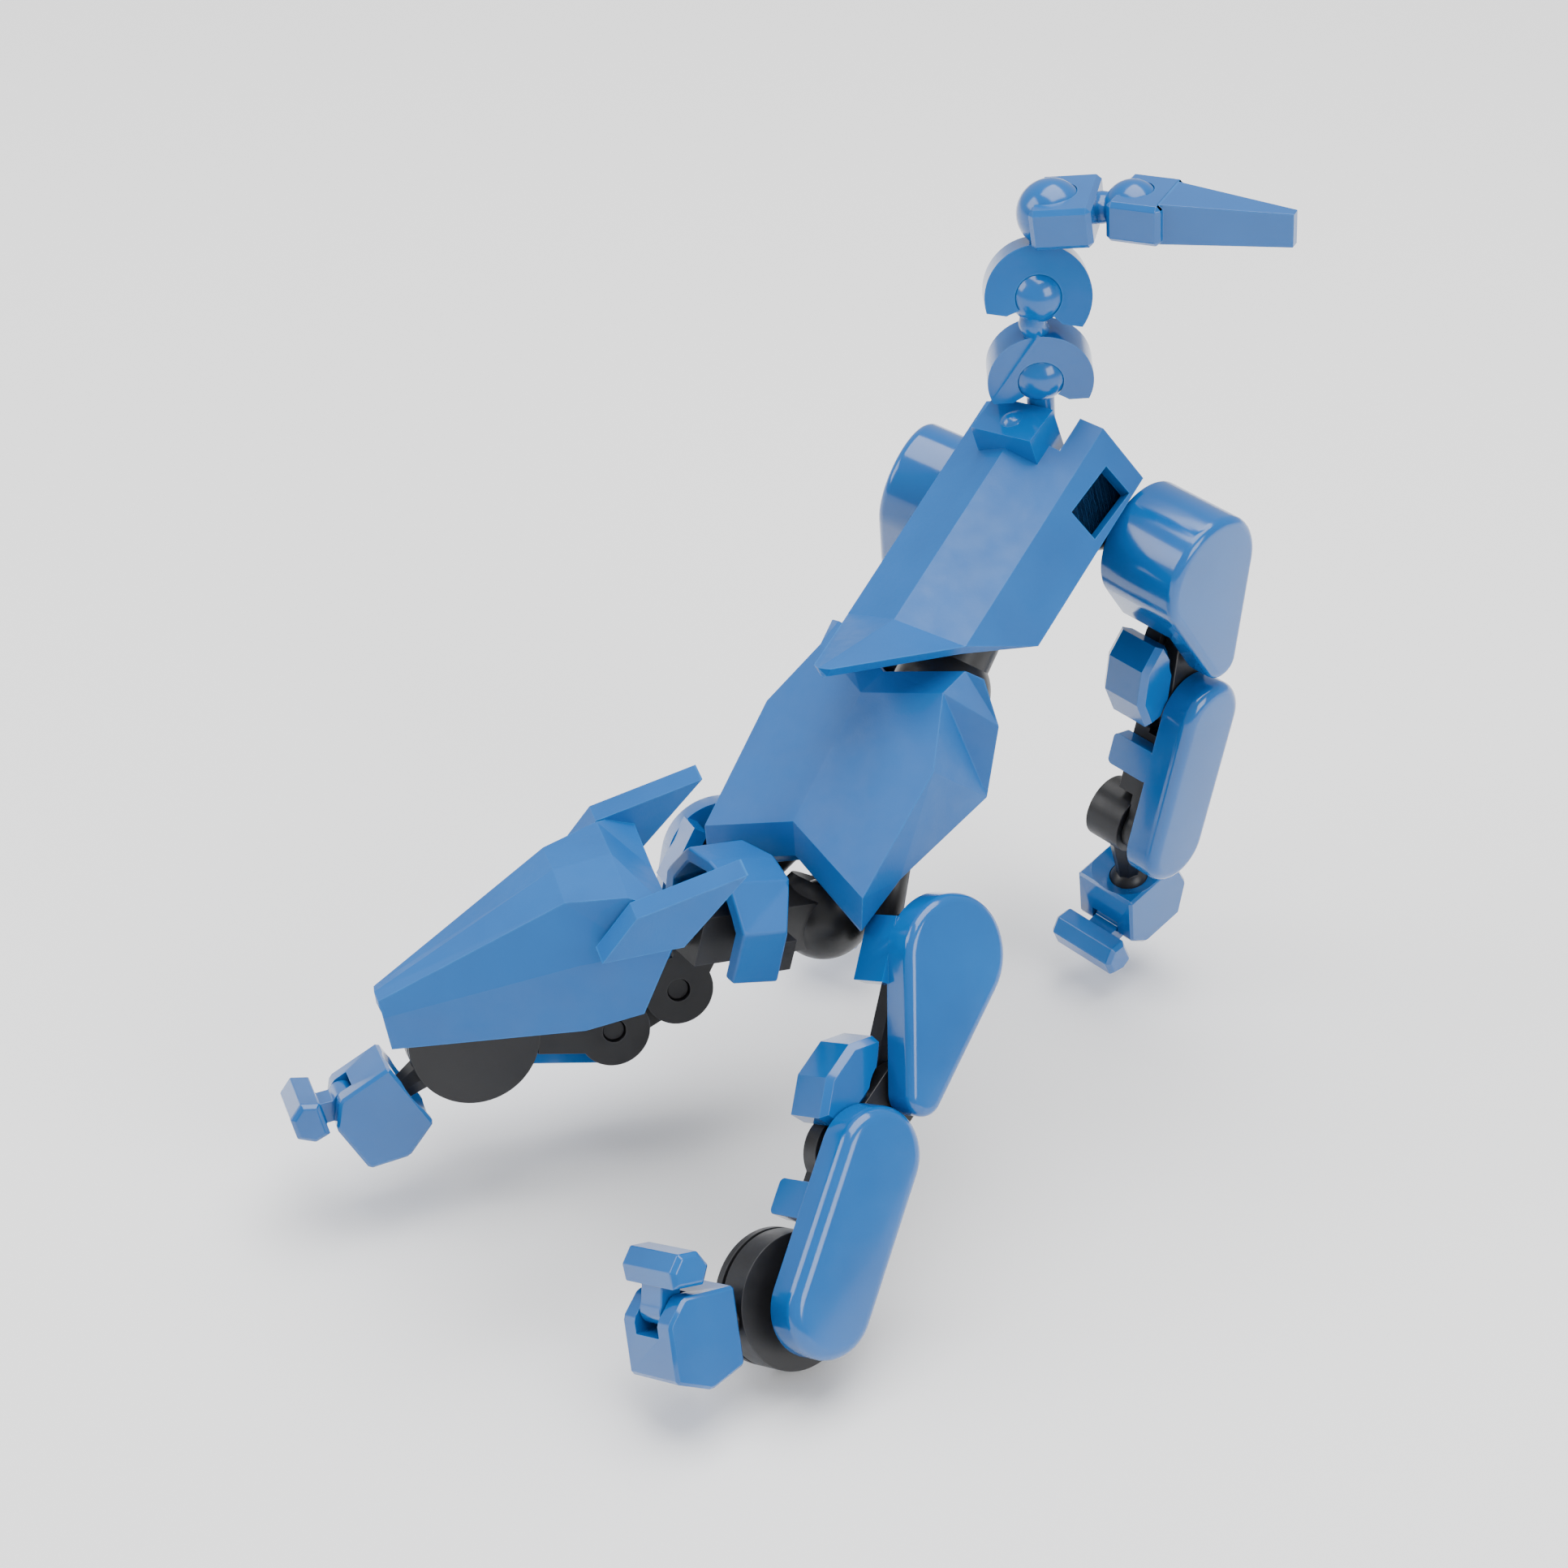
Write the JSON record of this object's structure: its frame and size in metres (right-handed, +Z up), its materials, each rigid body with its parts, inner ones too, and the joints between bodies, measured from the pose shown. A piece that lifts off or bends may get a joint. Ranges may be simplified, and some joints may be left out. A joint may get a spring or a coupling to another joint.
{
  "type": "posable quadruped figure kit",
  "caption": "Posable four-legged robot kit: blue clip-on armour shells over a black ball-jointed and hinged frame, with a linked ball-joint tail.",
  "frame": {"origin": "middle of the bounding box in plan, on the floor under the lowest paw", "axes": "+Z up, the figure faces -Y, its own left side is +X"},
  "size_m": [0.054, 0.0784, 0.0786],
  "materials": {
    "shell_blue": "matte moulded blue with a fine grain",
    "armour_blue": "glossy moulded blue",
    "clip_blue": "glossy moulded blue clips",
    "frame_black": "satin moulded black"
  },
  "bodies": {
    "chest": {"chest_frame": "frame_black", "chest_shell": "shell_blue"},
    "hips": {"hip_frame": "frame_black", "hip_shell": "shell_blue", "tail_base": "clip_blue"},
    "neck": {"neck_frame": "frame_black", "neck_shell": "shell_blue"},
    "head": {"head_frame": "frame_black", "head_shell": "shell_blue"},
    "tail_link_1": {"tail_link_1": "clip_blue"},
    "tail_link_2": {"tail_link_2": "clip_blue"},
    "tail_link_3": {"tail_link_3": "clip_blue"},
    "tail_tip": {"tail_tip": "clip_blue"},
    "front_left_upper_leg": {"front_left_upper_leg_frame": "frame_black", "front_left_thigh_cap": "armour_blue"},
    "front_left_knee": {"front_left_knee_link": "frame_black", "front_left_knee_pod": "armour_blue"},
    "front_left_lower_leg": {"front_left_lower_leg_frame": "frame_black", "front_left_shin_guard": "armour_blue"},
    "front_left_ankle": {"front_left_ankle_link": "frame_black"},
    "front_left_paw": {"front_left_paw": "armour_blue"},
    "front_left_toe": {"front_left_toe": "armour_blue"},
    "front_right_upper_leg": {"front_right_upper_leg_frame": "frame_black", "front_right_thigh_cap": "armour_blue"},
    "front_right_knee": {"front_right_knee_link": "frame_black", "front_right_knee_pod": "armour_blue"},
    "front_right_lower_leg": {"front_right_lower_leg_frame": "frame_black", "front_right_shin_guard": "armour_blue"},
    "front_right_ankle": {"front_right_ankle_link": "frame_black"},
    "front_right_paw": {"front_right_paw": "armour_blue"},
    "front_right_toe": {"front_right_toe": "armour_blue"},
    "rear_left_upper_leg": {"rear_left_upper_leg_frame": "frame_black", "rear_left_thigh_cap": "armour_blue"},
    "rear_left_knee": {"rear_left_knee_link": "frame_black", "rear_left_knee_pod": "armour_blue"},
    "rear_left_lower_leg": {"rear_left_lower_leg_frame": "frame_black", "rear_left_shin_guard": "armour_blue"},
    "rear_left_ankle": {"rear_left_ankle_link": "frame_black"},
    "rear_left_paw": {"rear_left_paw": "armour_blue"},
    "rear_left_toe": {"rear_left_toe": "armour_blue"},
    "rear_right_upper_leg": {"rear_right_upper_leg_frame": "frame_black", "rear_right_thigh_cap": "armour_blue"},
    "rear_right_knee": {"rear_right_knee_link": "frame_black", "rear_right_knee_pod": "armour_blue"},
    "rear_right_lower_leg": {"rear_right_lower_leg_frame": "frame_black", "rear_right_shin_guard": "armour_blue"},
    "rear_right_ankle": {"rear_right_ankle_link": "frame_black"},
    "rear_right_paw": {"rear_right_paw": "armour_blue"},
    "rear_right_toe": {"rear_right_toe": "armour_blue"}
  },
  "joints": [
    {"name": "waist", "type": "hinge", "parent": "chest", "child": "hips", "pos_m": [0.00712, 0.0148, 0.03702], "axis": [-0.1011, -0.35, 0.9313], "range_deg": [-10, 10]},
    {"name": "neck_base", "type": "hinge", "parent": "chest", "child": "neck", "pos_m": [0.00642, -0.00147, 0.02399], "axis": [0.0928, 0.2416, 0.9659], "range_deg": [-4, 22]},
    {"name": "head_nod", "type": "hinge", "parent": "neck", "child": "head", "pos_m": [-0.00067, -0.01995, 0.0293], "axis": [0.7583, -0.6494, 0.0572], "range_deg": [-10, 10]},
    {"name": "tail_joint_1", "type": "hinge", "parent": "hips", "child": "tail_link_1", "pos_m": [0.00762, 0.028, 0.06132], "axis": [0.8235, 0.5624, 0.075], "range_deg": [-18, 18]},
    {"name": "tail_joint_2", "type": "hinge", "parent": "tail_link_1", "child": "tail_link_2", "pos_m": [0.00762, 0.027, 0.06882], "axis": [0.8291, 0.5424, -0.1356], "range_deg": [-18, 18]},
    {"name": "tail_joint_3", "type": "hinge", "parent": "tail_link_2", "child": "tail_link_3", "pos_m": [0.00762, 0.0286, 0.07522], "axis": [-0.1404, -0.0585, 0.9884], "range_deg": [-15, 15]},
    {"name": "tail_joint_4", "type": "hinge", "parent": "tail_link_3", "child": "tail_tip", "pos_m": [0.01362, 0.0311, 0.07622], "axis": [-0.1742, 0.9847, 0], "range_deg": [-15, 15]},
    {"name": "front_left_shoulder", "type": "hinge", "parent": "chest", "child": "front_left_upper_leg", "pos_m": [0.01677, -0.00307, 0.02479], "axis": [0.8758, -0.2022, 0.4384], "range_deg": [-20, 20]},
    {"name": "front_left_knee_upper", "type": "hinge", "parent": "front_left_upper_leg", "child": "front_left_knee", "pos_m": [0.01899, -0.01066, 0.01686], "axis": [-0.8758, 0.2022, -0.4384], "range_deg": [-22, 4]},
    {"name": "front_left_knee_lower", "type": "hinge", "parent": "front_left_knee", "child": "front_left_lower_leg", "pos_m": [0.01889, -0.01654, 0.01434], "axis": [0.8758, -0.2022, 0.4384], "range_deg": [-5, 25]},
    {"name": "front_left_ankle", "type": "hinge", "parent": "front_left_lower_leg", "child": "front_left_ankle", "pos_m": [0.02065, -0.02587, 0.00652], "axis": [-0.8758, 0.2022, -0.4384], "range_deg": [-20, 20]},
    {"name": "front_left_paw_turn", "type": "hinge", "parent": "front_left_ankle", "child": "front_left_paw", "pos_m": [0.01642, -0.03353, 0.00734], "axis": [0.3088, 0.9326, -0.1869], "range_deg": [-25, 25]},
    {"name": "front_left_toe", "type": "hinge", "parent": "front_left_paw", "child": "front_left_toe", "pos_m": [0.01467, -0.03554, 0.0099], "axis": [0.8758, -0.2022, 0.4384], "range_deg": [-10, 12]},
    {"name": "front_right_shoulder", "type": "hinge", "parent": "chest", "child": "front_right_upper_leg", "pos_m": [-0.00392, 0.00013, 0.02319], "axis": [0.7432, -0.6018, 0.2924], "range_deg": [-20, 20]},
    {"name": "front_right_knee_upper", "type": "hinge", "parent": "front_right_upper_leg", "child": "front_right_knee", "pos_m": [-0.0055, -0.00623, 0.0141], "axis": [-0.7432, 0.6018, -0.2924], "range_deg": [-22, 4]},
    {"name": "front_right_knee_lower", "type": "hinge", "parent": "front_right_knee", "child": "front_right_lower_leg", "pos_m": [-0.00859, -0.01125, 0.01161], "axis": [0.7432, -0.6018, 0.2924], "range_deg": [-5, 25]},
    {"name": "front_right_ankle", "type": "hinge", "parent": "front_right_lower_leg", "child": "front_right_ankle", "pos_m": [-0.0167, -0.02027, 0.01366], "axis": [-0.7432, 0.6018, -0.2924], "range_deg": [-20, 20]},
    {"name": "front_right_paw_turn", "type": "hinge", "parent": "front_right_ankle", "child": "front_right_paw", "pos_m": [-0.01907, -0.02793, 0.01007], "axis": [0.4314, 0.765, 0.4782], "range_deg": [-25, 25]},
    {"name": "front_right_toe", "type": "hinge", "parent": "front_right_paw", "child": "front_right_toe", "pos_m": [-0.0215, -0.03068, 0.01059], "axis": [0.7432, -0.6018, 0.2924], "range_deg": [-10, 12]},
    {"name": "rear_left_hip", "type": "hinge", "parent": "hips", "child": "rear_left_upper_leg", "pos_m": [0.01892, 0.03136, 0.04628], "axis": [0.9803, -0.1905, -0.0523], "range_deg": [-20, 20]},
    {"name": "rear_left_knee_upper", "type": "hinge", "parent": "rear_left_upper_leg", "child": "rear_left_knee", "pos_m": [0.01899, 0.03438, 0.03654], "axis": [-0.9803, 0.1905, 0.0523], "range_deg": [-22, 4]},
    {"name": "rear_left_knee_lower", "type": "hinge", "parent": "rear_left_knee", "child": "rear_left_lower_leg", "pos_m": [0.01862, 0.03423, 0.03016], "axis": [0.9803, -0.1905, -0.0523], "range_deg": [-5, 25]},
    {"name": "rear_left_ankle", "type": "hinge", "parent": "rear_left_lower_leg", "child": "rear_left_ankle", "pos_m": [0.01751, 0.03184, 0.01814], "axis": [-0.9803, 0.1905, 0.0523], "range_deg": [-20, 20]},
    {"name": "rear_left_paw_turn", "type": "hinge", "parent": "rear_left_ankle", "child": "rear_left_paw", "pos_m": [0.01572, 0.03441, 0.00951], "axis": [0.0037, -0.2472, 0.969], "range_deg": [-25, 25]},
    {"name": "rear_left_toe", "type": "hinge", "parent": "rear_left_paw", "child": "rear_left_toe", "pos_m": [0.01525, 0.03294, 0.00615], "axis": [0.9803, -0.1905, -0.0523], "range_deg": [-10, 12]},
    {"name": "rear_right_hip", "type": "hinge", "parent": "hips", "child": "rear_right_upper_leg", "pos_m": [-0.00257, 0.03213, 0.04424], "axis": [0.9794, 0.1029, -0.1736], "range_deg": [-20, 20]},
    {"name": "rear_right_knee_upper", "type": "hinge", "parent": "rear_right_upper_leg", "child": "rear_right_knee", "pos_m": [-0.0044, 0.03265, 0.03422], "axis": [-0.9794, -0.1029, 0.1736], "range_deg": [-22, 4]},
    {"name": "rear_right_knee_lower", "type": "hinge", "parent": "rear_right_knee", "child": "rear_right_lower_leg", "pos_m": [-0.00506, 0.02956, 0.02866], "axis": [0.9794, 0.1029, -0.1736], "range_deg": [-5, 25]},
    {"name": "rear_right_ankle", "type": "hinge", "parent": "rear_right_lower_leg", "child": "rear_right_ankle", "pos_m": [-0.00633, 0.02362, 0.01796], "axis": [-0.9794, -0.1029, 0.1736], "range_deg": [-20, 20]},
    {"name": "rear_right_paw_turn", "type": "hinge", "parent": "rear_right_ankle", "child": "rear_right_paw", "pos_m": [-0.00605, 0.02302, 0.00881], "axis": [0.165, 0.0875, 0.9824], "range_deg": [-25, 25]},
    {"name": "rear_right_toe", "type": "hinge", "parent": "rear_right_paw", "child": "rear_right_toe", "pos_m": [-0.00626, 0.02048, 0.00611], "axis": [0.9794, 0.1029, -0.1736], "range_deg": [-10, 12]}
  ]
}
